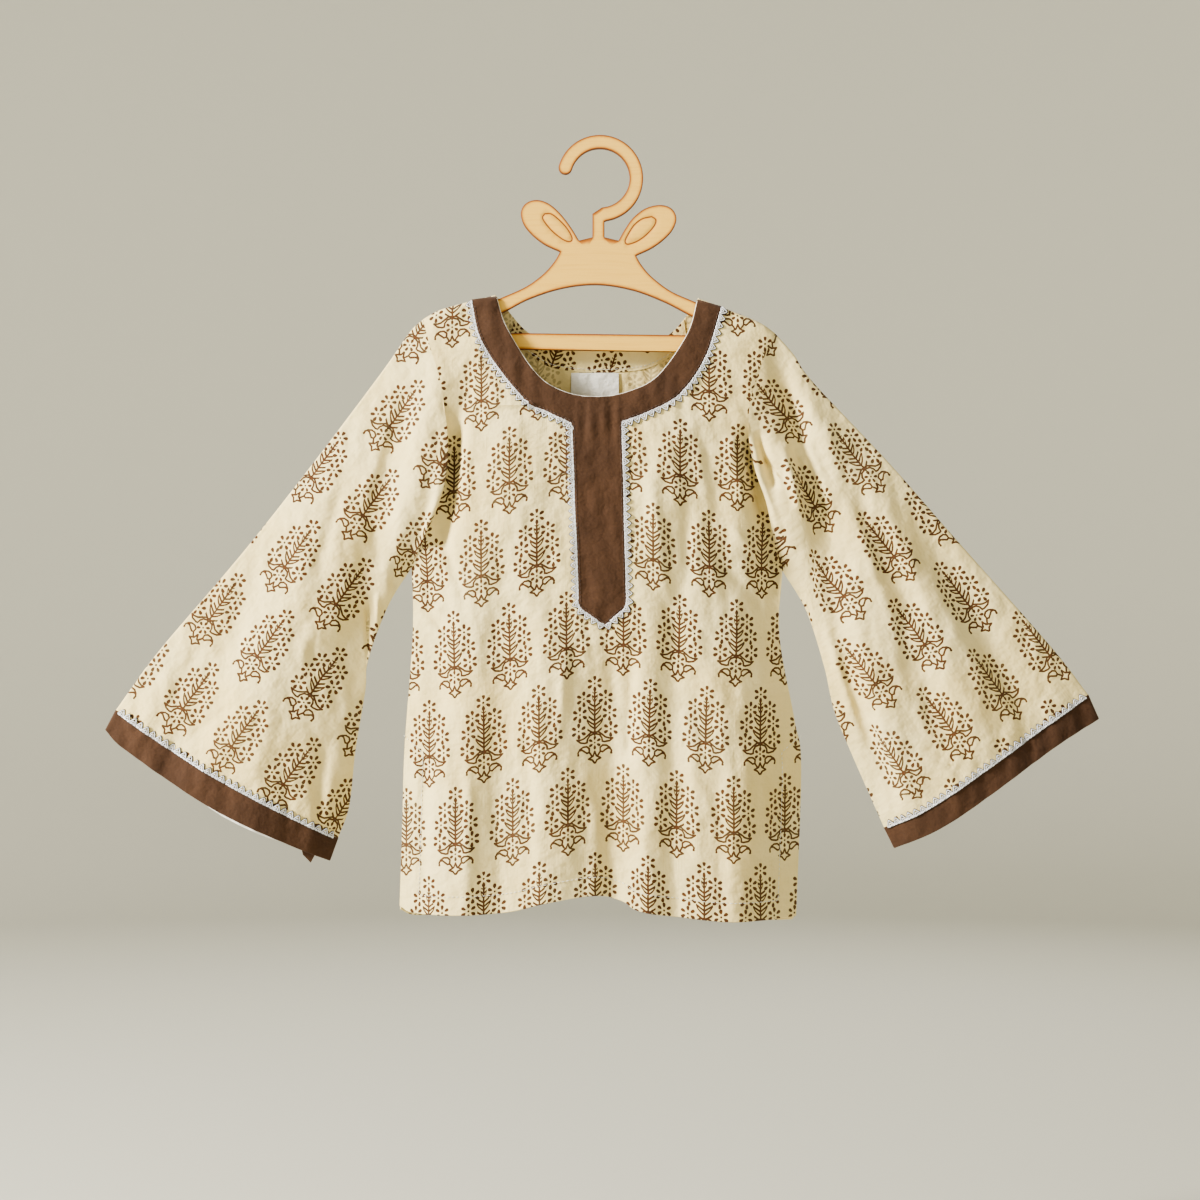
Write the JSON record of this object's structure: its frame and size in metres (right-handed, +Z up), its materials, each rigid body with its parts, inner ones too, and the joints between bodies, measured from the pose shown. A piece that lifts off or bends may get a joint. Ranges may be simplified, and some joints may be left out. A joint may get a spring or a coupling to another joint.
{
  "type": "kurta on a hanger",
  "caption": "Child's long-sleeved block-printed kurta with a placket, bell sleeves and side slits, hanging flat on a plain flat plywood hanger with ears.",
  "frame": {"origin": "inner top of the hook, where the hanger rests on a peg or rail", "axes": "+Z up, -Y out of the kurta's front, +X to the right as somebody facing the kurta sees it; node names say left and right from there too"},
  "size_m": [0.7148, 0.0521, 0.566],
  "materials": {
    "printed_cotton": "cream plain-weave cotton, block printed in rust brown",
    "brown_cotton": "dark brown plain-weave cotton",
    "lace": "silvery white picot lace",
    "label_tape": "white woven tape, bare",
    "plywood": "pale plywood with burnt, laser-cut edges"
  },
  "bodies": {
    "root": {"hanger": "plywood", "front": "printed_cotton", "back": "printed_cotton", "sleeve_left": "printed_cotton", "sleeve_right": "printed_cotton", "cuff_left": "brown_cotton", "cuff_right": "brown_cotton", "neck_band": "brown_cotton", "neck_trim": "lace", "cuff_trim_left": "lace", "cuff_trim_right": "lace", "back_neck_facing": "printed_cotton", "label": "label_tape"}
  },
  "joints": []
}
